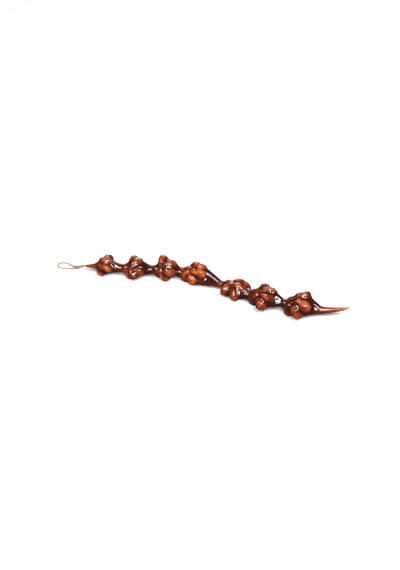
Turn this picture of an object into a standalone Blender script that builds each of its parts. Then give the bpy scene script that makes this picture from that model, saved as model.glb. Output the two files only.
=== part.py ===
"""A churchkhela: walnut halves on a cotton thread, dipped in thickened grape must and hung up to dry.

It lies on a table as it was taken down, with the thread loop that it hung from at -X and the
pointed drip that ran off its lower end at +X. +Z is up, and all sizes are in metres.
"""

import math
import random
from collections import namedtuple

import bmesh
import bpy
import numpy as np
from mathutils import Euler, Matrix, Vector, noise

# The walnut halves, before they are dipped
WALNUT_LENGTH = 0.0285
WALNUT_WIDTH = 0.0240
WALNUT_THICKNESS = 0.0175
LOBE_UNEVENNESS = 0.17
FOLD_HEIGHT = 0.0012
FOLD_SINK = 0.00045
FOLD_SPACING = 0.0052

# The line of the thread, seen from above: a long shallow S
SWAY = 0.0095
SWAY_WAVELENGTH = 0.215
SWAY_PEAK = 0.090

# The dried must round the thread
NECK_RADIUS = 0.0031
RUN_OFF_RADIUS = 0.0042
RUN_OFF_LENGTH = 0.0135
COLLAR_LENGTH = 0.0085
RUN_RADIUS = 0.0044
RUN_END_RADIUS = 0.0030
RUN_SIDES = 16
LOBES_A_RUN = 2
THREAD_POINTS = 120
TOP_END = -0.0205
TOP_RADIUS = 0.0016
TOP_HEIGHT = 0.0065
DRIP_LENGTH = 0.0490
DRIP_RADIUS = 0.0048
DRIP_TAPER = 0.75
DRIP_POINT_RADIUS = 0.0004
DRIP_POINT_HEIGHT = 0.0125
DRIP_SAG = 0.0030

# The coat over all of it, and the depth of the flat spots that it rests on
COAT_BRIDGE = 0.0036
COAT_THICKNESS = 0.0005
COAT_GRAIN = 0.0008
REST_DEPTH = 0.0007
STRAND_TRIANGLES = 8000

# The cotton twine that the strand hung from: a stem out of the strand's top end, a knot and a loop.
# They lie on the table, 0.3 mm clear of the strand and of each other.
TWINE_RADIUS = 0.0006
KNOT_BALL_RADIUS = 0.0017
POINT_SPACING = 0.0023
STEM_ROUTE = ((-0.1386, -0.0080, 0.0069), (-0.1423, -0.0081, 0.0056), (-0.1460, -0.0080, 0.0030))
KNOT_BALLS = ((-0.1468, -0.0083, 0.0021), (-0.1478, -0.0065, 0.0019), (-0.1486, -0.0085, 0.0024))
TAIL_ROUTE = ((-0.1479, -0.0066, 0.0020), (-0.1466, -0.0038, 0.0012), (-0.1439, -0.0020, 0.0007))
LOOP_ROUTE = (
    (-0.1509, -0.0074, 0.0022),
    (-0.1545, -0.0050, 0.0009),
    (-0.1605, -0.0027, 0.0007),
    (-0.1665, -0.0030, 0.0007),
    (-0.1697, -0.0073, 0.0007),
    (-0.1669, -0.0117, 0.0007),
    (-0.1607, -0.0123, 0.0007),
    (-0.1547, -0.0105, 0.0009),
    (-0.1509, -0.0092, 0.0022),
)

# Where each walnut half is: its distance along the strand, how far it is spun round the thread that
# runs through its flat side, how far its folded side leans back to look up, how far that side
# swings round to look at -Y, its size against the usual one, how far it sits off the thread,
# across and up, and how far down the thread its must ran.
WalnutHalf = namedtuple("WalnutHalf", "along spin lean swing size across up run")
WALNUT_HALVES = (
    WalnutHalf(0.000, 58, 36, 20, 0.84, 0.001, 0.000, 0.018),
    WalnutHalf(0.031, -30, 40, 30, 0.90, -0.001, 0.001, 0.018),
    WalnutHalf(0.061, 4, 26, 46, 0.92, 0.001, 0.002, 0.019),
    WalnutHalf(0.092, 34, 52, 32, 1.00, 0.000, 0.001, 0.029),
    WalnutHalf(0.138, 5, 76, 22, 1.06, 0.000, 0.003, 0.018),
    WalnutHalf(0.171, 40, 56, 40, 1.04, -0.001, 0.001, 0.020),
    WalnutHalf(0.207, 28, 50, 30, 1.08, 0.000, 0.001, 0.021),
)

# The lobes of a walnut half: centre and half sizes, in shares of its length, width and thickness,
# and the turn of the lobe. They stand all round its rim, with ridges on its folded side.
Lobe = namedtuple("Lobe", "centre half_size turn")
RIM_LOBES = 6
RIM_REACH = 0.30
RIM_LOBE_SIZE = (0.220, 0.190, 0.36)
RIM_STRAY = 0.22
RIM_RISE = 0.12
RIDGE_CENTRE = (0.150, 0.120, 0.20)
RIDGE_SIZE = (0.215, 0.120, 0.26)
RIDGE_TURN = math.radians(24)
BODY = Lobe((0, 0, 0), (0.330, 0.300, 0.34), 0)

# Each finish: its name, colour and roughness
DRIED_MUST = ("dried_must", (0.130, 0.030, 0.014, 1.0), 0.16)
COTTON_TWINE = ("cotton_twine", (0.620, 0.400, 0.180, 1.0), 0.60)


def new_material(name, colour, roughness):
    material = bpy.data.materials.new(name)
    material.use_nodes = True
    shader = material.node_tree.nodes["Principled BSDF"]
    shader.inputs["Base Color"].default_value = colour
    shader.inputs["Roughness"].default_value = roughness
    shader.inputs["Metallic"].default_value = 0.0
    return material


def new_collection(name):
    collection = bpy.data.collections.new(name)
    bpy.context.scene.collection.children.link(collection)
    return collection


def new_object(name, mesh, collection):
    obj = bpy.data.objects.new(name, mesh)
    collection.objects.link(obj)
    return obj


def sway(along):
    """How far the thread lies to one side at this distance along the strand."""
    return SWAY * math.cos(2 * math.pi * (along - SWAY_PEAK) / SWAY_WAVELENGTH)


def heading(along):
    """The turn of the thread, seen from above, at this distance along the strand."""
    step = 0.001
    return math.atan2(sway(along + step) - sway(along - step), 2 * step)


def rim_lobes(draw):
    """Lobes that point outwards all round a walnut half, unevenly spaced."""
    lobes = []
    for number in range(RIM_LOBES):
        step = number + 0.5 + draw.uniform(-RIM_STRAY, RIM_STRAY)
        angle = 2 * math.pi * step / RIM_LOBES
        rise = draw.uniform(-RIM_RISE, RIM_RISE)
        centre = (RIM_REACH * math.cos(angle), RIM_REACH * math.sin(angle), rise)
        lobes.append(Lobe(centre, RIM_LOBE_SIZE, angle))
    return lobes


def ridges():
    """Four slanting ridges on the folded side."""
    x, y, z = RIDGE_CENTRE
    signs = [(end, side) for end in (-1, 1) for side in (-1, 1)]
    return [Lobe((end * x, side * y, z), RIDGE_SIZE, end * side * RIDGE_TURN) for end, side in signs]


def lobes_of(half, number):
    """The matrices that turn a unit ball into each lobe of a walnut half, about the half's centre."""
    draw = random.Random(number)
    size = Vector((WALNUT_LENGTH, WALNUT_WIDTH, WALNUT_THICKNESS)) * half.size
    turn = Euler([math.radians(a) for a in (half.spin, half.lean, half.swing)], "XYZ")
    attitude = (
        Matrix.Rotation(heading(half.along), 4, "Z")
        @ turn.to_matrix().to_4x4()
        @ Matrix.Rotation(-math.pi / 2, 4, "Y")
    )
    matrices = []
    for lobe in [*rim_lobes(draw), *ridges(), BODY]:
        uneven = [draw.uniform(1 - LOBE_UNEVENNESS, 1 + LOBE_UNEVENNESS) for _ in range(6)]
        place = Vector(c * s * u for c, s, u in zip(lobe.centre, size, uneven[:3]))
        scale = Vector(h * s * u for h, s, u in zip(lobe.half_size, size, uneven[3:]))
        matrices.append(
            attitude
            @ Matrix.Translation(place)
            @ Matrix.Rotation(lobe.turn, 4, "Z")
            @ Matrix.Diagonal(scale).to_4x4()
        )
    return matrices


def lowest_point(matrices):
    """The height of the lowest point of unit balls under these matrices."""
    return min(m.translation.z - Vector(m[2][:3]).length for m in matrices)


def walnut_centres():
    """Each half rests on its lowest lobe, a little sunk for its flat spot."""
    centres = []
    for number, half in enumerate(WALNUT_HALVES):
        height = -lowest_point(lobes_of(half, number)) - REST_DEPTH
        across = sway(half.along) + half.across
        centres.append(Vector((half.along, across, height)))
    return centres


def add_ball(collection, matrix):
    """A unit ball, stretched and placed by the matrix."""
    mesh = bpy.data.meshes.new("ball")
    ball = bmesh.new()
    bmesh.ops.create_icosphere(ball, subdivisions=3, radius=1)
    ball.transform(matrix)
    ball.to_mesh(mesh)
    ball.free()
    new_object("ball", mesh, collection)


def add_run(collection, start, end, size):
    """A tapered ridge of must that ran down from a lobe to the thread."""
    line = end - start
    turn = line.to_track_quat("Z", "Y").to_matrix().to_4x4()
    mesh = bpy.data.meshes.new("run")
    ridge = bmesh.new()
    bmesh.ops.create_cone(
        ridge,
        cap_ends=True,
        segments=RUN_SIDES,
        radius1=RUN_RADIUS * size,
        radius2=RUN_END_RADIUS * size,
        depth=line.length,
        matrix=Matrix.Translation((start + end) / 2) @ turn,
    )
    ridge.to_mesh(mesh)
    ridge.free()
    new_object("run", mesh, collection)


def add_walnuts(collection):
    for number, (half, centre) in enumerate(zip(WALNUT_HALVES, walnut_centres())):
        matrices = [Matrix.Translation(centre) @ matrix for matrix in lobes_of(half, number)]
        for matrix in matrices:
            add_ball(collection, matrix)
        foot = thread_point(half.along + half.run)
        for matrix in matrices[:RIM_LOBES:LOBES_A_RUN]:
            add_run(collection, matrix.translation, foot, half.size)


def thread_radius(along):
    """The half thickness of the must round the thread: thick where it ran off each walnut."""
    radius = NECK_RADIUS
    drip = (along - WALNUT_HALVES[-1].along) / DRIP_LENGTH
    if drip > 0:
        radius = DRIP_RADIUS * max(0.0, 1 - drip) ** DRIP_TAPER + DRIP_POINT_RADIUS * drip
    for half in WALNUT_HALVES:
        away = along - half.along
        reach = RUN_OFF_LENGTH if away > 0 else COLLAR_LENGTH
        radius += RUN_OFF_RADIUS * half.size * math.exp(-((away / reach) ** 2))
    if along < 0:
        top = along / TOP_END
        radius = radius * (1 - top) + TOP_RADIUS * top
    return radius


def thread_point(along):
    """The thread's centre line: level with each half, low at the top end and sagging in the drip."""
    centres = walnut_centres()
    stations = [TOP_END, *(c.x for c in centres), centres[-1].x + DRIP_LENGTH]
    levels = (c.z - half.up for c, half in zip(centres, WALNUT_HALVES))
    heights = [TOP_HEIGHT, *levels, DRIP_POINT_HEIGHT]
    down_the_drip = max(0.0, along - WALNUT_HALVES[-1].along) / DRIP_LENGTH
    sag = DRIP_SAG * math.sin(math.pi * down_the_drip)
    return Vector((along, sway(along), float(np.interp(along, stations, heights)) - sag))


def smooth_route(points, spacing):
    """Points a spacing or less apart on a smooth curve through the given ones."""
    points = [Vector(point) for point in points]
    padded = [2 * points[0] - points[1], *points, 2 * points[-1] - points[-2]]
    route = []
    for before, start, end, after in zip(padded, padded[1:], padded[2:], padded[3:]):
        steps = math.ceil((end - start).length / spacing)
        for step in range(steps):
            t = step / steps
            route.append(
                0.5
                * (
                    2 * start
                    + (end - before) * t
                    + (2 * before - 5 * start + 4 * end - after) * t**2
                    + (3 * start - before - 3 * end + after) * t**3
                )
            )
    return [*route, points[-1]]


def add_tube(name, points, radii, roundness, collection):
    """A round bar along the points, with a half thickness of its own at each."""
    curve = bpy.data.curves.new(name, "CURVE")
    curve.dimensions = "3D"
    curve.bevel_depth = 1.0
    curve.bevel_resolution = roundness
    curve.use_fill_caps = True
    spline = curve.splines.new("POLY")
    spline.points.add(len(points) - 1)
    for place, point, radius in zip(spline.points, points, radii):
        place.co = (*point, 1.0)
        place.radius = radius
    return new_object(name, curve, collection)


def as_solid(tube):
    """The tube as a closed mesh that can be joined to others."""
    bpy.context.view_layer.update()
    graph = bpy.context.evaluated_depsgraph_get()
    mesh = bpy.data.meshes.new_from_object(tube.evaluated_get(graph))
    skin = bmesh.new()
    skin.from_mesh(mesh)
    bmesh.ops.remove_doubles(skin, verts=skin.verts, dist=0.00001)
    skin.to_mesh(mesh)
    skin.free()
    solid = new_object(tube.name, mesh, tube.users_collection[0])
    solid.matrix_world = tube.matrix_world
    bpy.data.objects.remove(tube)


def add_coated_thread(collection):
    first, last = TOP_END, WALNUT_HALVES[-1].along + DRIP_LENGTH
    stations = [float(along) for along in np.linspace(first, last, THREAD_POINTS)]
    points = [thread_point(along) for along in stations]
    radii = [thread_radius(along) for along in stations]
    as_solid(add_tube("coated_thread", points, radii, 4, collection))


def apply_modifiers(obj):
    bpy.context.view_layer.update()
    graph = bpy.context.evaluated_depsgraph_get()
    mesh = bpy.data.meshes.new_from_object(obj.evaluated_get(graph))
    obj.modifiers.clear()
    obj.data = mesh


def joined(collection, into):
    """One solid from all the pieces of a collection, which is then emptied."""
    pieces = list(collection.objects)
    body = pieces.pop()
    collection.objects.unlink(body)
    into.objects.link(body)
    union = body.modifiers.new("join", "BOOLEAN")
    union.operation = "UNION"
    union.operand_type = "COLLECTION"
    union.collection = collection
    union.solver = "MANIFOLD"
    apply_modifiers(body)
    for piece in pieces:
        bpy.data.objects.remove(piece)
    bpy.data.collections.remove(collection)
    return body


def fold_skin(mesh):
    """Presses the walnuts' folds into the surface before it is coated."""
    normals = [vertex.normal.copy() for vertex in mesh.vertices]
    for vertex, normal in zip(mesh.vertices, normals):
        fold = abs(noise.noise(vertex.co / FOLD_SPACING))
        vertex.co += normal * (FOLD_HEIGHT * fold - FOLD_SINK)


def add_remesh(obj, voxel):
    remesh = obj.modifiers.new("grain", "REMESH")
    remesh.mode = "VOXEL"
    remesh.voxel_size = voxel


def add_offset(obj, distance):
    offset = obj.modifiers.new("offset", "DISPLACE")
    offset.strength = distance
    offset.mid_level = 0.0


def add_smoothing(obj, repeats):
    smooth = obj.modifiers.new("flow", "SMOOTH")
    smooth.factor = 0.5
    smooth.iterations = repeats


def coat(strand):
    """Must fills the creases between lobes, webs them to the thread and rounds everything over."""
    add_remesh(strand, COAT_GRAIN)
    apply_modifiers(strand)
    fold_skin(strand.data)
    add_offset(strand, COAT_BRIDGE)
    add_remesh(strand, COAT_GRAIN)
    add_smoothing(strand, 4)
    add_offset(strand, COAT_THICKNESS - COAT_BRIDGE)
    add_remesh(strand, COAT_GRAIN)
    add_smoothing(strand, 2)
    apply_modifiers(strand)


def thin_out(strand):
    """Keeps the shape with fewer triangles, most of them where it bends."""
    thin = strand.modifiers.new("thin_out", "DECIMATE")
    triangles = sum(len(face.vertices) - 2 for face in strand.data.polygons)
    thin.ratio = STRAND_TRIANGLES / triangles
    thin.use_collapse_triangulate = True
    apply_modifiers(strand)


def centre_on_origin(strand):
    """Stands the strand on the ground with the middle of its box over the origin."""
    corners = [Vector(corner) for corner in strand.bound_box]
    middle = (corners[0] + corners[6]) / 2
    strand.data.transform(Matrix.Translation((-middle.x, -middle.y, 0.0)))


def make_strand(collection):
    dipped = new_collection("dipped")
    add_walnuts(dipped)
    add_coated_thread(dipped)
    strand = joined(dipped, collection)
    strand.name = "strand"
    coat(strand)
    thin_out(strand)
    for vertex in strand.data.vertices:
        vertex.co.z = max(0.0, vertex.co.z)
    strand.data.shade_smooth()
    centre_on_origin(strand)
    strand.data.materials.append(new_material(*DRIED_MUST))


def add_twine(name, route, collection):
    points = smooth_route(route, POINT_SPACING)
    return add_tube(name, points, [TWINE_RADIUS] * len(points), 2, collection)


def make_knot(collection):
    """The stem out of the strand, the turns of the knot and the cut tail, as one solid."""
    tied = new_collection("tied")
    for place in KNOT_BALLS:
        size = Matrix.Diagonal((KNOT_BALL_RADIUS,) * 3).to_4x4()
        add_ball(tied, Matrix.Translation(place) @ size)
    as_solid(add_twine("stem", STEM_ROUTE, tied))
    as_solid(add_twine("tail", TAIL_ROUTE, tied))
    knot = joined(tied, collection)
    knot.name = "thread_knot"
    knot.data.shade_smooth()
    knot.data.materials.append(new_material(*COTTON_TWINE))


def make_loop(collection):
    loop = add_twine("thread_loop", LOOP_ROUTE, collection)
    loop.data.materials.append(new_material(*COTTON_TWINE))


def main():
    for obj in list(bpy.data.objects):
        bpy.data.objects.remove(obj)
    churchkhela = new_collection("churchkhela")
    make_strand(churchkhela)
    make_knot(churchkhela)
    make_loop(churchkhela)


main()
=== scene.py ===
"""The looks of a churchkhela: walnut halves on a cotton twine, under a glossy coat of dried must.

It lies on a pale table, with the loop that it hung from at -X and its pointed drip at +X.
All sizes are in metres, unless a name ends in _MM.
"""

import math
import random
from collections import namedtuple

import bmesh
import bpy
import numpy as np
from mathutils import Euler, Matrix, Vector, noise
from mathutils.bvhtree import BVHTree


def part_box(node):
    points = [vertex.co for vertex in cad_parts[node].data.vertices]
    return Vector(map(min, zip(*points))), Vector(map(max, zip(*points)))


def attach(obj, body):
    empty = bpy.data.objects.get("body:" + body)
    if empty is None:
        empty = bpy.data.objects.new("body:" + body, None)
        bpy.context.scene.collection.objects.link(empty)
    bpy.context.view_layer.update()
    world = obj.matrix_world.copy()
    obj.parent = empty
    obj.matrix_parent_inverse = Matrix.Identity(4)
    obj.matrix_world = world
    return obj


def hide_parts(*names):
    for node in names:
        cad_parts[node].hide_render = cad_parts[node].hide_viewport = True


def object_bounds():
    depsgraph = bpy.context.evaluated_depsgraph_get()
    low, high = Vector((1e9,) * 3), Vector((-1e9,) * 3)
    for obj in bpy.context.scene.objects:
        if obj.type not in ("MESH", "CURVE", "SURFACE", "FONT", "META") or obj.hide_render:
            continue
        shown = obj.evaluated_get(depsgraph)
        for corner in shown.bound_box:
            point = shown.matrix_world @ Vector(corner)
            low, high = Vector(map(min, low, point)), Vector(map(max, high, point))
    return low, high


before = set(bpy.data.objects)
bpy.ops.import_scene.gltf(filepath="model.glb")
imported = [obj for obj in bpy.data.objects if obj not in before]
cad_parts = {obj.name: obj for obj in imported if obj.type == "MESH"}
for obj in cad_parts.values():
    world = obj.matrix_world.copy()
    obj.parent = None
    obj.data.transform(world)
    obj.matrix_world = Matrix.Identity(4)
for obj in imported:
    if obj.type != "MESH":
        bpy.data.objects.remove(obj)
cad_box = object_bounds()
STRAND_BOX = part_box("strand")

# The picture: 1 mm of the strand is about 1 pixel, seen from the side that the walnuts' folds face
CAMERA_AZIMUTH = 19.5
CAMERA_ELEVATION = 35
CAMERA_DISTANCE = 1.36
CAMERA_LENS_MM = 85
AIM_BELOW_MIDDLE = 0.007

# The walnut halves, before they are dipped
WALNUT_LENGTH = 0.0285
WALNUT_WIDTH = 0.0240
WALNUT_THICKNESS = 0.0175
LOBE_UNEVENNESS = 0.17
LOBE_SUBDIVISIONS = 4
REST_DEPTH = 0.0007

# The folds of the kernels' skin, deep ones and fine ones, which fade away from a kernel
FOLD_HEIGHT = 0.0012
FOLD_SINK = 0.00045
FOLD_SPACING = 0.0052
PUCKER_HEIGHT = 0.0002
PUCKER_SPACING = 0.0024
SKIN_FADE = 0.0025

# The line of the thread, seen from above: a long shallow S
SWAY = 0.0095
SWAY_WAVELENGTH = 0.215
SWAY_PEAK = 0.090

# The dried must round the thread
NECK_RADIUS = 0.0031
RUN_OFF_RADIUS = 0.0042
RUN_OFF_LENGTH = 0.0135
COLLAR_LENGTH = 0.0085
RUN_RADIUS = 0.0044
RUN_END_RADIUS = 0.0030
RUN_SIDES = 16
LOBES_A_RUN = 2
THREAD_POINTS = 120
THREAD_SIDES = 20
TOP_END = -0.0205
TOP_RADIUS = 0.0009
TOP_HEIGHT = 0.0065
DRIP_LENGTH = 0.0490
DRIP_RADIUS = 0.0048
DRIP_TAPER = 0.75
DRIP_POINT_RADIUS = 0.0004
DRIP_POINT_HEIGHT = 0.0125
DRIP_SAG = 0.0030

# The coat over all of it
COAT_BRIDGE = 0.0036
COAT_THICKNESS = 0.0005
COAT_GRAIN = 0.00052
WET_SMOOTHING = 6
DRY_SMOOTHING = 4

# How thick the must looks: what lies over the run-offs' crests and the thread's core is counted,
# and a crown that stands out more than the usual one has drained. That crown term is also painted
# shade: hollows and creases count deeper and come out darker, crowns come out lighter
CORE_SHARE = 0.95
CREST_SHARE = 0.72
CROWN_SMOOTHING = 120
USUAL_CROWN = 0.0008
DRAIN_AND_HOLLOW_SHADE_SHARE = 0.7
MM_A_METRE = 1000

# The cotton twine that the strand hung from. The loop's route is the CAD's, point for point.
TWINE_RADIUS = 0.0006
TWINE_PLIES = 3
TWINE_SIDES = 18
TWINE_PITCH = 0.0050
PLY_SWELL = 1.06
PLY_GROOVE = 0.30
PLY_ROUNDNESS = 0.5
TWINE_STEP = 0.00045
STEM_ROUTE = (
    (-0.1345, -0.0078, 0.0067),
    (-0.1384, -0.0080, 0.0066),
    (-0.1423, -0.0081, 0.0056),
    (-0.1460, -0.0080, 0.0032),
    (-0.1484, -0.0081, 0.0024),
)
LOOP_ROUTE = (
    (-0.1509, -0.0074, 0.0022),
    (-0.1545, -0.0050, 0.0009),
    (-0.1605, -0.0027, 0.0007),
    (-0.1665, -0.0030, 0.0007),
    (-0.1697, -0.0073, 0.0007),
    (-0.1669, -0.0117, 0.0007),
    (-0.1607, -0.0123, 0.0007),
    (-0.1547, -0.0105, 0.0009),
    (-0.1509, -0.0092, 0.0022),
)
TAIL_ROUTE = (
    (-0.1474, -0.0060, 0.0019),
    (-0.1464, -0.0038, 0.0011),
    (-0.1439, -0.0020, 0.0008),
)
KNOT_START = (-0.1464, -0.0080, 0.0025)
KNOT_END = (-0.1501, -0.0083, 0.0023)
KNOT_TURNS = 2.6
KNOT_WRAP_RADIUS = 0.00135
KNOT_POINTS_A_TURN = 10
LEG_BEND_SHARE = 0.4

# The frayed end of the twine's tail. The spread, the lift and the bend are shares of a fibre's reach.
FRAY_SEED = 5
FRAYED_FIBRES = 6
FIBRE_RADIUS = 0.00012
FIBRE_TIP_RADIUS = 0.4 * FIBRE_RADIUS
FIBRE_SIDES = 6
FIBRE_LENGTH = 0.0022
FIBRE_STEP = FIBRE_LENGTH / 5
FIBRE_ROOT = 0.0006
FIBRE_SPREAD = 0.5
FIBRE_LIFT = 0.35
FIBRE_BEND = 0.15
SHORTEST_FIBRE_SHARE = 0.6

# Where each walnut half is: its distance along the strand, how far it is spun round the thread that
# runs through its flat side, how far its folded side leans back to look up, how far that side
# swings round to look at -Y, its size against the usual one, how far it sits off the thread,
# across and up, and how far down the thread its must ran.
WalnutHalf = namedtuple("WalnutHalf", "along spin lean swing size across up run")
WALNUT_HALVES = (
    WalnutHalf(0.000, 58, 36, 20, 0.84, 0.001, 0.000, 0.018),
    WalnutHalf(0.031, -30, 40, 30, 0.90, -0.001, 0.001, 0.018),
    WalnutHalf(0.061, 4, 26, 46, 0.92, 0.001, 0.002, 0.019),
    WalnutHalf(0.092, 34, 52, 32, 1.00, 0.000, 0.001, 0.029),
    WalnutHalf(0.138, 5, 76, 22, 1.06, 0.000, 0.003, 0.018),
    WalnutHalf(0.171, 40, 56, 40, 1.04, -0.001, 0.001, 0.020),
    WalnutHalf(0.207, 28, 50, 30, 1.08, 0.000, 0.001, 0.021),
)

# The lobes of a walnut half: centre and half sizes, in shares of its length, width and thickness,
# and the turn of the lobe. They stand all round its rim, with ridges on its folded side.
Lobe = namedtuple("Lobe", "centre half_size turn")
RIM_LOBES = 6
RIM_REACH = 0.30
RIM_LOBE_SIZE = (0.220, 0.190, 0.36)
RIM_STRAY = 0.22
RIM_RISE = 0.12
RIDGE_CENTRE = (0.150, 0.120, 0.20)
RIDGE_SIZE = (0.215, 0.120, 0.26)
RIDGE_TURN = math.radians(24)
BODY = Lobe((0, 0, 0), (0.330, 0.300, 0.34), 0)

# How far each piece of twine is soaked with must, at its two ends
STEM_SOAK = (1.0, 0.55)
LEG_SOAK = (0.5, 0.4)
KNOT_SOAK = (0.6, 0.35)
LOOP_SOAK = (0.40, 0.40)

# The colour of the must by how thick it lies, in millimetres, from amber to nearly black. The depth
# also holds painted shade in creases and hollows, so the dark end is partly painted shade
MUST_COLOURS_AND_CREASE_SHADE = (
    (0.00, (0.262, 0.055, 0.010)),
    (0.35, (0.190, 0.035, 0.007)),
    (0.80, (0.098, 0.015, 0.005)),
    (1.25, (0.048, 0.007, 0.003)),
    (1.90, (0.020, 0.003, 0.002)),
    (4.00, (0.005, 0.001, 0.001)),
)
DEEPEST_MUST_MM = 4.0
SOAKED_MUST_MM = 0.35

# Noises of the finishes: at a scale of 1000 the features are about a millimetre wide. The mottling
# is a mix of clouds, streaks along the strand and broad patches, by the shares here.
Noise = namedtuple("Noise", "scale detail roughness")
CLOUDS = Noise(190, 3, 0.6)
STREAKS = Noise(430, 2, 0.5)
STREAK_STRETCH = (0.16, 1, 1)
STREAK_SHARE = 0.6
PATCHES = Noise(36, 1, 0.4)
PATCH_SHARE = 0.9
MOTTLE_MEAN = 0.5 * (1 + STREAK_SHARE + PATCH_SHARE)
MUST_MOTTLING_MM = 2.4
TWINE_MOTTLING_MM = 1.0
RIPPLES = Noise(270, 2, 0.45)
RIPPLE_STREAK_SHARE = 0.35
RIPPLE_HEIGHT = 0.0008
COTTON_FIBRES = Noise(2600, 3, 0.7)
COTTON_FIBRE_SHARE = 0.5
COTTON_FIBRE_HEIGHT = 0.0001

# The cotton's colour in the grooves between the plies and on the plies; the darker groove colour
# is painted shade
COTTON_COLOURS_AND_GROOVE_SHADE = ((0.30, (0.090, 0.032, 0.006)), (1.0, (0.300, 0.165, 0.042)))

# The studio: the direction of each soft light from the strand in degrees, its distance, its size
# and its brightness
SoftLight = namedtuple("SoftLight", "name azimuth elevation distance width height brightness")
SOFT_LIGHTS = (
    SoftLight("key_light", 38, 54, 2.0, 0.70, 0.56, 43),
    SoftLight("front_light", 12, 42, 2.0, 0.46, 0.40, 46),
    SoftLight("low_key_light", 30, 26, 2.0, 0.28, 0.22, 46),
    SoftLight("side_key_light", 64, 42, 2.0, 0.28, 0.42, 42),
    SoftLight("left_light", -46, 50, 2.0, 0.48, 0.56, 30),
    SoftLight("back_light", 195, 26, 2.2, 1.80, 0.90, 5.5),
)
ROOM_BRIGHTNESS = 0.08
BACKDROP_BRIGHTNESS = 1.0
TABLE_BRIGHTNESS = 0.55
TABLE_BRIGHTNESS_IN_GLAZE = 0.05
TABLE_SIZE = 1.8


def new_object(name, data):
    obj = bpy.data.objects.new(name, data)
    bpy.context.scene.collection.objects.link(obj)
    return obj


def to_mesh(name, shape):
    mesh = bpy.data.meshes.new(name)
    shape.to_mesh(mesh)
    shape.free()
    return mesh


def to_object(name, shape):
    """Turns a finished bmesh into a smooth shaded piece."""
    bmesh.ops.recalc_face_normals(shape, faces=shape.faces)
    mesh = to_mesh(name, shape)
    mesh.shade_smooth()
    return new_object(name, mesh)


def direction_to(azimuth, elevation):
    """The direction from the strand to what looks or shines at it. At azimuth 0 it is -Y."""
    azimuth, elevation = math.radians(azimuth), math.radians(elevation)
    return Vector(
        (
            math.sin(azimuth) * math.cos(elevation),
            -math.cos(azimuth) * math.cos(elevation),
            math.sin(elevation),
        )
    )


def face_strand(obj, direction):
    """Turns a camera or a light, which look along their own -Z, to the strand."""
    obj.rotation_euler = (-direction).to_track_quat("-Z", "Y").to_euler()


# The camera


def place_camera():
    low, high = cad_box
    aim = (low + high) / 2 - Vector((0, 0, AIM_BELOW_MIDDLE))
    back = direction_to(CAMERA_AZIMUTH, CAMERA_ELEVATION)
    camera = new_object("camera", bpy.data.cameras.new("camera"))
    camera.data.lens = CAMERA_LENS_MM
    camera.location = aim + back * CAMERA_DISTANCE
    face_strand(camera, back)
    bpy.context.scene.camera = camera


# The twine


def smooth_route(points, spacing):
    """Points a spacing or less apart on a smooth curve through the given ones."""
    points = [Vector(point) for point in points]
    padded = [2 * points[0] - points[1], *points, 2 * points[-1] - points[-2]]
    route = []
    for before, start, end, after in zip(padded, padded[1:], padded[2:], padded[3:]):
        steps = math.ceil((end - start).length / spacing)
        for step in range(steps):
            t = step / steps
            route.append(
                0.5
                * (
                    2 * start
                    + (end - before) * t
                    + (2 * before - 5 * start + 4 * end - after) * t**2
                    + (3 * start - before - 3 * end + after) * t**3
                )
            )
    return [*route, points[-1]]


def frames_along(points, radii):
    """A matrix at each point that lays a unit ring square to the line there, without any twist."""
    frames = []
    turn = None
    for number, (point, radius) in enumerate(zip(points, radii)):
        ahead = points[min(number + 1, len(points) - 1)]
        behind = points[max(number - 1, 0)]
        direction = (ahead - behind).normalized()
        if turn is None:
            turn = direction.to_track_quat("Z", "Y")
        else:
            turn = (turn @ Vector((0, 0, 1))).rotation_difference(direction) @ turn
        frames.append(
            Matrix.Translation(point)
            @ turn.to_matrix().to_4x4()
            @ Matrix.Diagonal((radius, radius, radius, 1))
        )
    return frames


def sweep(shape, frames, sides):
    """A closed round bar: a ring that is extruded from each frame to the next."""
    ring = bmesh.ops.create_circle(shape, cap_ends=True, segments=sides, radius=1, matrix=frames[0])
    rings = [ring["verts"]]
    edges = list(dict.fromkeys(edge for vert in ring["verts"] for edge in vert.link_edges))
    for before, after in zip(frames, frames[1:]):
        grown = bmesh.ops.extrude_edge_only(shape, edges=edges)["geom"]
        verts = [part for part in grown if isinstance(part, bmesh.types.BMVert)]
        edges = [
            part
            for part in grown
            if isinstance(part, bmesh.types.BMEdge) and all(v in verts for v in part.verts)
        ]
        bmesh.ops.transform(shape, matrix=after @ before.inverted(), verts=verts)
        rings.append(verts)
    bmesh.ops.edgeloop_fill(shape, edges=edges)
    return rings


def add_twine(shape, route, soak):
    """Plies laid up together, soaked with must by the given share at each end."""
    layers = shape.verts.layers.float
    groove_layer = layers.get("groove") or layers.new("groove")
    soak_layer = layers.get("soak") or layers.new("soak")
    points = smooth_route(route, TWINE_STEP)
    frames = frames_along(points, [TWINE_RADIUS] * len(points))
    along = 0.0
    for number, (ring, place) in enumerate(zip(sweep(shape, frames, TWINE_SIDES), frames)):
        along += (points[number] - points[max(number - 1, 0)]).length
        share = number / (len(frames) - 1)
        for vert in ring:
            local = place.inverted() @ vert.co
            angle = math.atan2(local.y, local.x) + 2 * math.pi * along / TWINE_PITCH
            groove = abs(math.cos(angle * TWINE_PLIES / 2)) ** PLY_ROUNDNESS
            # This ply profile also paints shade into the grooves in the twine's finish
            vert[groove_layer] = groove
            vert[soak_layer] = soak[0] + (soak[1] - soak[0]) * share
            local.xy *= PLY_SWELL - PLY_GROOVE * (1 - groove)
            vert.co = place @ local
    return points


def knot_route():
    """Turns round the loop's two legs, from the loop's side to the stem's, and then the tail."""
    start, end = Vector(KNOT_START), Vector(KNOT_END)
    direction = (end - start).normalized()
    turn = direction.to_track_quat("Z", "Y")
    count = round(KNOT_TURNS * KNOT_POINTS_A_TURN)
    points = []
    for number in range(count + 1):
        angle = 2 * math.pi * number / KNOT_POINTS_A_TURN
        ring = Vector((math.cos(angle), math.sin(angle), 0)) * KNOT_WRAP_RADIUS
        points.append(end + (start - end) * number / count + turn @ ring)
    return [*points, *TAIL_ROUTE]


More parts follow.
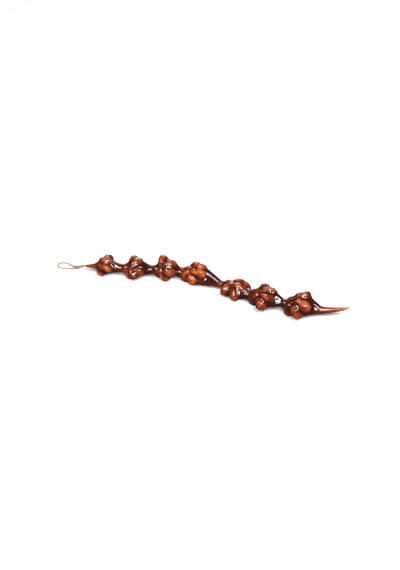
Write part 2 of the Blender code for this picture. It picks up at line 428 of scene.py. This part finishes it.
def add_frayed_end(shape, end, direction):
    """Loose fibres at the cut end of the tail."""
    draw = random.Random(FRAY_SEED)
    for _ in range(FRAYED_FIBRES):
        x, y = [draw.uniform(-FIBRE_SPREAD, FIBRE_SPREAD) for _ in range(2)]
        aside = Vector((x, y, draw.uniform(0.0, FIBRE_LIFT)))
        reach = FIBRE_LENGTH * draw.uniform(SHORTEST_FIBRE_SHARE, 1.0)
        tip = end + (direction + aside) * reach
        middle = (end + tip) / 2 + direction * reach * FIBRE_BEND
        route = smooth_route([end - direction * FIBRE_ROOT, end, middle, tip], FIBRE_STEP)
        radii = list(np.linspace(FIBRE_RADIUS, FIBRE_TIP_RADIUS, len(route)))
        sweep(shape, frames_along(route, radii), FIBRE_SIDES)


def make_knot(finish):
    """The stem, the two legs of the loop inside the knot, the turns round them and the cut tail."""
    shape = bmesh.new()
    add_twine(shape, STEM_ROUTE, STEM_SOAK)
    legs_start = Vector(STEM_ROUTE[-1])
    for leg in (LOOP_ROUTE[0], LOOP_ROUTE[-1]):
        bend = legs_start + (Vector(leg) - legs_start) * LEG_BEND_SHARE
        add_twine(shape, [legs_start, bend, leg], LEG_SOAK)
    add_twine(shape, knot_route(), KNOT_SOAK)
    end, before = Vector(TAIL_ROUTE[-1]), Vector(TAIL_ROUTE[-2])
    add_frayed_end(shape, end, (end - before).normalized())
    knot = to_object("twine_knot", shape)
    knot.data.materials.append(finish)
    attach(knot, "root")
    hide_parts("thread_knot")
    return knot


def make_loop(finish):
    """The loop that the strand hung from, whose two ends go into the knot."""
    shape = bmesh.new()
    path = add_twine(shape, LOOP_ROUTE, LOOP_SOAK)
    loop = to_object("twine_loop", shape)
    loop.data.materials.append(finish)
    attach(loop, "root")
    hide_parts("thread_loop")


# The strand


def sway(along):
    """How far the thread lies to one side at this distance along the strand."""
    return SWAY * math.cos(2 * math.pi * (along - SWAY_PEAK) / SWAY_WAVELENGTH)


def heading(along):
    """The turn of the thread, seen from above, at this distance along the strand."""
    step = 0.001
    return math.atan2(sway(along + step) - sway(along - step), 2 * step)


def rim_lobes(draw):
    """Lobes that point outwards all round a walnut half, unevenly spaced."""
    lobes = []
    for number in range(RIM_LOBES):
        step = number + 0.5 + draw.uniform(-RIM_STRAY, RIM_STRAY)
        angle = 2 * math.pi * step / RIM_LOBES
        rise = draw.uniform(-RIM_RISE, RIM_RISE)
        centre = (RIM_REACH * math.cos(angle), RIM_REACH * math.sin(angle), rise)
        lobes.append(Lobe(centre, RIM_LOBE_SIZE, angle))
    return lobes


def ridges():
    """Four slanting ridges on the folded side."""
    x, y, z = RIDGE_CENTRE
    signs = [(end, side) for end in (-1, 1) for side in (-1, 1)]
    return [
        Lobe((end * x, side * y, z), RIDGE_SIZE, end * side * RIDGE_TURN) for end, side in signs
    ]


def lobes_of(half, number):
    """The matrices that turn a unit ball into each lobe of a walnut half, about its centre."""
    draw = random.Random(number)
    size = Vector((WALNUT_LENGTH, WALNUT_WIDTH, WALNUT_THICKNESS)) * half.size
    turn = Euler([math.radians(a) for a in (half.spin, half.lean, half.swing)], "XYZ")
    attitude = (
        Matrix.Rotation(heading(half.along), 4, "Z")
        @ turn.to_matrix().to_4x4()
        @ Matrix.Rotation(-math.pi / 2, 4, "Y")
    )
    matrices = []
    for lobe in [*rim_lobes(draw), *ridges(), BODY]:
        uneven = [draw.uniform(1 - LOBE_UNEVENNESS, 1 + LOBE_UNEVENNESS) for _ in range(6)]
        place = Vector(c * s * u for c, s, u in zip(lobe.centre, size, uneven[:3]))
        scale = Vector(h * s * u for h, s, u in zip(lobe.half_size, size, uneven[3:]))
        matrices.append(
            attitude
            @ Matrix.Translation(place)
            @ Matrix.Rotation(lobe.turn, 4, "Z")
            @ Matrix.Diagonal(scale).to_4x4()
        )
    return matrices


def lowest_point(matrices):
    """The height of the lowest point of unit balls under these matrices."""
    return min(m.translation.z - Vector(m[2][:3]).length for m in matrices)


def walnut_centres():
    """Each half rests on its lowest lobe, a little sunk for its flat spot."""
    centres = []
    for number, half in enumerate(WALNUT_HALVES):
        height = -lowest_point(lobes_of(half, number)) - REST_DEPTH
        across = sway(half.along) + half.across
        centres.append(Vector((half.along, across, height)))
    return centres


def thread_radius(along):
    """The half thickness of the must round the thread: thick where it ran off each walnut."""
    radius = NECK_RADIUS
    drip = (along - WALNUT_HALVES[-1].along) / DRIP_LENGTH
    if drip > 0:
        radius = DRIP_RADIUS * max(0.0, 1 - drip) ** DRIP_TAPER + DRIP_POINT_RADIUS * drip
    for half in WALNUT_HALVES:
        away = along - half.along
        reach = RUN_OFF_LENGTH if away > 0 else COLLAR_LENGTH
        radius += RUN_OFF_RADIUS * half.size * math.exp(-((away / reach) ** 2))
    if along < 0:
        top = along / TOP_END
        radius = radius * (1 - top) + TOP_RADIUS * top
    return radius


def thread_levels():
    """Where the thread's height is given and the heights: at each half's, and at the two ends."""
    centres = walnut_centres()
    stations = [TOP_END, *(c.x for c in centres), centres[-1].x + DRIP_LENGTH]
    levels = (c.z - half.up for c, half in zip(centres, WALNUT_HALVES))
    return stations, [TOP_HEIGHT, *levels, DRIP_POINT_HEIGHT]


# Worked out once, because every point of the thread needs them
THREAD_STATIONS, THREAD_HEIGHTS = thread_levels()


def thread_point(along):
    """The thread's centre line."""
    height = float(np.interp(along, THREAD_STATIONS, THREAD_HEIGHTS))
    down_the_drip = max(0.0, along - WALNUT_HALVES[-1].along) / DRIP_LENGTH
    sag = DRIP_SAG * math.sin(math.pi * down_the_drip)
    return Vector((along, sway(along), height - sag))


def unit_ball():
    ball = bmesh.new()
    bmesh.ops.create_icosphere(ball, subdivisions=LOBE_SUBDIVISIONS, radius=1)
    return to_mesh("ball", ball)


def add_copy(shape, mesh, matrix):
    """Adds a mesh to a bmesh, placed by the matrix."""
    copy = mesh.copy()
    copy.transform(matrix)
    shape.from_mesh(copy)
    bpy.data.meshes.remove(copy)


def run_off(start, end, size):
    """A tapered ridge of must that ran down from a lobe to the thread."""
    line = end - start
    turn = line.to_track_quat("Z", "Y").to_matrix().to_4x4()
    ridge = bmesh.new()
    bmesh.ops.create_cone(
        ridge,
        cap_ends=True,
        segments=RUN_SIDES,
        radius1=RUN_RADIUS * size,
        radius2=RUN_END_RADIUS * size,
        depth=line.length,
        matrix=Matrix.Translation((start + end) / 2) @ turn,
    )
    return to_mesh("run_off", ridge)


def all_lobes():
    """The lobes of all the halves, where they lie."""
    matrices = []
    for number, (half, centre) in enumerate(zip(WALNUT_HALVES, walnut_centres())):
        matrices.append([Matrix.Translation(centre) @ matrix for matrix in lobes_of(half, number)])
    return matrices


def bare_kernels():
    """The lobes of the walnut halves, before they are dipped."""
    shape = bmesh.new()
    ball = unit_ball()
    for matrices in all_lobes():
        for matrix in matrices:
            add_copy(shape, ball, matrix)
    return shape


def must_on_thread():
    """The must round the thread, from the strand's top end to the point of its drip."""
    first, last = TOP_END, WALNUT_HALVES[-1].along + DRIP_LENGTH
    stations = [float(along) for along in np.linspace(first, last, THREAD_POINTS)]
    points = [thread_point(along) for along in stations]
    radii = [thread_radius(along) for along in stations]
    shape = bmesh.new()
    sweep(shape, frames_along(points, radii), THREAD_SIDES)
    bmesh.ops.recalc_face_normals(shape, faces=shape.faces)
    return to_mesh("must_on_thread", shape)


def add_run_offs(shape, share):
    """Must that ran off some of the rim lobes, at this share of its thickness."""
    for half, matrices in zip(WALNUT_HALVES, all_lobes()):
        foot = thread_point(half.along + half.run)
        for matrix in matrices[:RIM_LOBES:LOBES_A_RUN]:
            shape.from_mesh(run_off(matrix.translation, foot, half.size * share))


def undipped():
    """The kernels, the must that ran off them and the thread, as one heap of closed forms."""
    shape = bare_kernels()
    shape.from_mesh(must_on_thread())
    add_run_offs(shape, 1.0)
    return new_object("dipped_strand", to_mesh("strand", shape))


def apply_modifiers(obj):
    """Gives the object the mesh that its modifiers make, and takes them off."""
    bpy.context.view_layer.update()
    graph = bpy.context.evaluated_depsgraph_get()
    mesh = bpy.data.meshes.new_from_object(obj.evaluated_get(graph))
    obj.modifiers.clear()
    obj.data = mesh


def add_remesh(obj):
    remesh = obj.modifiers.new("grain", "REMESH")
    remesh.mode = "VOXEL"
    remesh.voxel_size = COAT_GRAIN


def add_offset(obj, distance):
    offset = obj.modifiers.new("offset", "DISPLACE")
    offset.strength = distance
    offset.mid_level = 0.0


def add_smoothing(obj, repeats):
    smooth = obj.modifiers.new("flow", "SMOOTH")
    smooth.factor = 0.5
    smooth.iterations = repeats


def fold_skin(mesh, kernels):
    """Presses the kernels' folds into the surface before it is coated."""
    normals = [vertex.normal.copy() for vertex in mesh.vertices]
    for vertex, normal in zip(mesh.vertices, normals):
        gap = kernels.find_nearest(vertex.co)[3]
        near = max(0.0, 1 - gap / SKIN_FADE)
        fold = abs(noise.noise(vertex.co / FOLD_SPACING))
        pucker = noise.noise(vertex.co / PUCKER_SPACING)
        vertex.co += normal * near * (FOLD_HEIGHT * fold - FOLD_SINK + PUCKER_HEIGHT * pucker)


def coat(strand, kernels):
    """Must fills the creases between lobes, webs them to the thread and rounds everything over."""
    add_remesh(strand)
    apply_modifiers(strand)
    fold_skin(strand.data, kernels)
    add_offset(strand, COAT_BRIDGE)
    add_remesh(strand)
    add_smoothing(strand, WET_SMOOTHING)
    add_offset(strand, COAT_THICKNESS - COAT_BRIDGE)
    add_remesh(strand)
    add_smoothing(strand, DRY_SMOOTHING)
    apply_modifiers(strand)


def crown_heights(strand):
    """How far each point stands out of the strand's smoothed form, less than 0 in a hollow.
    It sets painted shade in the hollows and painted light on the crowns.
    """
    smoothed = new_object("smoothed", strand.data.copy())
    add_smoothing(smoothed, CROWN_SMOOTHING)
    apply_modifiers(smoothed)
    heights = [
        (vertex.co - flat.co).dot(vertex.normal)
        for vertex, flat in zip(strand.data.vertices, smoothed.data.vertices)
    ]
    bpy.data.objects.remove(smoothed)
    return heights


def measure_coat_and_crease_shade(strand, crests):
    """Notes how thick the must dried: it filled the creases and drained off the crowns.
    Part of the number is painted shade, darker in creases and hollows and lighter on crowns.
    """
    depths = []
    for vertex, height in zip(strand.data.vertices, crown_heights(strand)):
        place, normal, _, over_crest = crests.find_nearest(vertex.co)
        if (vertex.co - place).dot(normal) < 0:
            over_crest = 0.0
        along = vertex.co.x
        to_line = (vertex.co - thread_point(along)).length
        over_core = max(0.0, to_line - CORE_SHARE * thread_radius(along))
        fill = min(over_crest, over_core)
        # The crown term is painted shade: hollows count deeper and come out darker, crowns lighter
        depths.append(MM_A_METRE * max(0.0, fill + DRAIN_AND_HOLLOW_SHADE_SHARE * (USUAL_CROWN - height)))
    layer = strand.data.attributes.new("coat_depth_and_crease_shade_mm", "FLOAT", "POINT")
    layer.data.foreach_set("value", depths)


def lay_down(strand):
    """Flattens the strand where it rests, and centres it on the CAD's."""
    for vertex in strand.data.vertices:
        vertex.co.z = max(0.0, vertex.co.z)
    corners = [Vector(corner) for corner in strand.bound_box]
    middle = (corners[0] + corners[6]) / 2
    target = (STRAND_BOX[0] + STRAND_BOX[1]) / 2
    shift = Matrix.Translation((target.x - middle.x, target.y - middle.y, 0))
    strand.data.transform(shift)


def make_strand(finish):
    """The dipped strand, which stands for the CAD's plainer one."""
    strand = undipped()
    bare = bare_kernels()
    coat(strand, BVHTree.FromBMesh(bare))
    add_run_offs(bare, CREST_SHARE)
    measure_coat_and_crease_shade(strand, BVHTree.FromBMesh(bare))
    bare.free()
    lay_down(strand)
    strand.data.shade_smooth()
    strand.data.materials.append(finish)
    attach(strand, "root")
    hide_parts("strand")


# The finishes


def add_node(tree, kind, inputs=(), **settings):
    """A node with its settings, and its named inputs set to values or linked to sockets."""
    node = tree.nodes.new(kind)
    for name, value in settings.items():
        setattr(node, name, value)
    for name, value in dict(inputs).items():
        if isinstance(value, bpy.types.NodeSocket):
            tree.links.new(value, node.inputs[name])
        else:
            node.inputs[name].default_value = value
    return node


def set_values(node, values):
    for name, value in values.items():
        node.inputs[name].default_value = value


def set_ramp(ramp, colours):
    """Sets a colour ramp's stops from pairs of a position and a colour."""
    stops = ramp.color_ramp.elements
    while len(stops) < len(colours):
        stops.new(0.5)
    for stop, (position, colour) in zip(stops, colours):
        stop.position = position
        stop.color = (*colour, 1)


def noise_node(tree, place, kind):
    inputs = {"Vector": place, "Scale": kind.scale, "Detail": kind.detail}
    inputs["Roughness"] = kind.roughness
    return add_node(tree, "ShaderNodeTexNoise", inputs).outputs["Fac"]


def sum_node(tree, value, share, added):
    """A share of one value added to another."""
    inputs = {0: value, 1: share, 2: added}
    return add_node(tree, "ShaderNodeMath", inputs, operation="MULTIPLY_ADD").outputs[0]


def new_finish(name):
    material = bpy.data.materials.new(name)
    material.use_nodes = True
    tree = material.node_tree
    return material, tree, tree.nodes["Principled BSDF"]


def must_colour_group():
    """The colour of must of a given depth, mottled as it dried, for every finish with must.
    On the strand the depth includes painted shade in creases and hollows.
    """
    tree = bpy.data.node_groups.new("must_colour", "ShaderNodeTree")
    for name in ("Depth", "Mottling"):
        tree.interface.new_socket(name, in_out="INPUT", socket_type="NodeSocketFloat")
    tree.interface.new_socket("Place", in_out="INPUT", socket_type="NodeSocketVector")
    tree.interface.new_socket("Color", in_out="OUTPUT", socket_type="NodeSocketColor")
    tree.interface.new_socket("Ripple", in_out="OUTPUT", socket_type="NodeSocketFloat")
    given = tree.nodes.new("NodeGroupInput").outputs
    place = given["Place"]
    drawn_out = add_node(tree, "ShaderNodeMapping", {"Vector": place, "Scale": STREAK_STRETCH})
    cloud = noise_node(tree, place, CLOUDS)
    streak = noise_node(tree, drawn_out.outputs["Vector"], STREAKS)
    patch = noise_node(tree, place, PATCHES)
    wave = noise_node(tree, place, RIPPLES)
    mottled = sum_node(tree, patch, PATCH_SHARE, sum_node(tree, streak, STREAK_SHARE, cloud))
    centred = add_node(tree, "ShaderNodeMath", {0: mottled, 1: MOTTLE_MEAN}, operation="SUBTRACT")
    depth = sum_node(tree, centred.outputs[0], given["Mottling"], given["Depth"])
    share = add_node(
        tree,
        "ShaderNodeMath",
        {0: depth, 1: DEEPEST_MUST_MM},
        operation="DIVIDE",
        use_clamp=True,
    )
    ramp = add_node(tree, "ShaderNodeValToRGB", {"Fac": share.outputs[0]})
    set_ramp(ramp, [(depth_mm / DEEPEST_MUST_MM, colour) for depth_mm, colour in MUST_COLOURS_AND_CREASE_SHADE])
    put_out = tree.nodes.new("NodeGroupOutput").inputs
    tree.links.new(ramp.outputs["Color"], put_out["Color"])
    tree.links.new(sum_node(tree, streak, RIPPLE_STREAK_SHARE, wave), put_out["Ripple"])
    return tree


def dried_must_finish(must_colour):
    """Amber where it is thin over a kernel, maroon in the webs, nearly black where it is deep.
    The depth includes painted shade, so creases and hollows are darker and crowns lighter.
    """
    material, tree, shader = new_finish("dried_must_gloss")
    place = add_node(tree, "ShaderNodeTexCoord").outputs["Object"]
    # The depth that it reads includes painted shade in creases and hollows
    depth = add_node(tree, "ShaderNodeAttribute", attribute_name="coat_depth_and_crease_shade_mm").outputs["Fac"]
    colour = add_node(
        tree,
        "ShaderNodeGroup",
        {"Place": place, "Depth": depth, "Mottling": MUST_MOTTLING_MM},
        node_tree=must_colour,
    )
    bump = add_node(
        tree,
        "ShaderNodeBump",
        {"Height": colour.outputs["Ripple"], "Strength": 0.9, "Distance": RIPPLE_HEIGHT},
    )
    tree.links.new(colour.outputs["Color"], shader.inputs["Base Color"])
    tree.links.new(bump.outputs["Normal"], shader.inputs["Normal"])
    set_values(shader, {"Roughness": 0.32, "Specular IOR Level": 0.0})
    set_values(shader, {"Coat Weight": 1.0, "Coat Roughness": 0.06, "Coat IOR": 1.45})
    return material


def cotton_twine_finish(must_colour):
    """Straw coloured plies with painted shade in the grooves, tinted with must where they are soaked.
    """
    material, tree, shader = new_finish("soaked_cotton_twine")
    place = add_node(tree, "ShaderNodeTexCoord").outputs["Object"]
    groove = add_node(tree, "ShaderNodeAttribute", attribute_name="groove").outputs["Fac"]
    soak = add_node(tree, "ShaderNodeAttribute", attribute_name="soak").outputs["Fac"]
    stained = add_node(
        tree,
        "ShaderNodeGroup",
        {"Place": place, "Depth": SOAKED_MUST_MM, "Mottling": TWINE_MOTTLING_MM},
        node_tree=must_colour,
    )
    fibres = noise_node(tree, place, COTTON_FIBRES)
    # The dark grooves between plies are painted shade
    shade = sum_node(tree, fibres, COTTON_FIBRE_SHARE, groove)
    cotton = add_node(tree, "ShaderNodeValToRGB", {"Fac": shade})
    set_ramp(cotton, COTTON_COLOURS_AND_GROOVE_SHADE)
    tint = add_node(tree, "ShaderNodeMix", {"Factor": soak}, data_type="RGBA")
    tree.links.new(cotton.outputs["Color"], tint.inputs["A"])
    tree.links.new(stained.outputs["Color"], tint.inputs["B"])
    bump = add_node(
        tree,
        "ShaderNodeBump",
        {"Height": fibres, "Strength": 0.4, "Distance": COTTON_FIBRE_HEIGHT},
    )
    tree.links.new(tint.outputs["Result"], shader.inputs["Base Color"])
    tree.links.new(bump.outputs["Normal"], shader.inputs["Normal"])
    set_values(shader, {"Roughness": 0.55, "Coat Weight": 0.5, "Coat Roughness": 0.15})
    return material


# The studio


def lay_table():
    """A white table, dimmer in the glaze, so that its mirror image doesn't whiten the must."""
    shape = bmesh.new()
    bmesh.ops.create_grid(shape, x_segments=1, y_segments=1, size=TABLE_SIZE / 2)
    table = to_object("table_top", shape)
    material, tree, shader = new_finish("white_table")
    mirrored = add_node(tree, "ShaderNodeLightPath").outputs["Is Glossy Ray"]
    brightness = add_node(
        tree,
        "ShaderNodeMapRange",
        {"Value": mirrored, "To Min": TABLE_BRIGHTNESS, "To Max": TABLE_BRIGHTNESS_IN_GLAZE},
    )
    tree.links.new(brightness.outputs["Result"], shader.inputs["Base Color"])
    set_values(shader, {"Roughness": 0.7, "Specular IOR Level": 0.0})
    table.data.materials.append(material)


def hang_lights():
    """Soft rectangular lights, turned to the strand, as bright as given at any size."""
    for soft in SOFT_LIGHTS:
        direction = direction_to(soft.azimuth, soft.elevation)
        light = bpy.data.lights.new(soft.name, "AREA")
        light.shape = "RECTANGLE"
        light.size = soft.width
        light.size_y = soft.height
        light.energy = soft.brightness * math.pi * soft.width * soft.height
        holder = new_object(soft.name, light)
        holder.location = direction * soft.distance
        face_strand(holder, direction)


def light_room():
    """A dim even room, which the camera sees as white."""
    world = bpy.data.worlds.new("studio")
    bpy.context.scene.world = world
    world.use_nodes = True
    tree = world.node_tree
    seen = add_node(tree, "ShaderNodeLightPath").outputs["Is Camera Ray"]
    strength = add_node(
        tree,
        "ShaderNodeMapRange",
        {"Value": seen, "To Min": ROOM_BRIGHTNESS, "To Max": BACKDROP_BRIGHTNESS},
    )
    backdrop = tree.nodes["Background"]
    backdrop.inputs["Color"].default_value = (1, 1, 1, 1)
    tree.links.new(strength.outputs["Result"], backdrop.inputs["Strength"])


def main():
    place_camera()
    must_colour = must_colour_group()
    twine_finish = cotton_twine_finish(must_colour)
    knot = make_knot(twine_finish)
    make_loop(twine_finish)
    make_strand(dried_must_finish(must_colour))
    lay_table()
    hang_lights()
    light_room()
    bpy.context.scene.view_settings.view_transform = "Standard"


main()
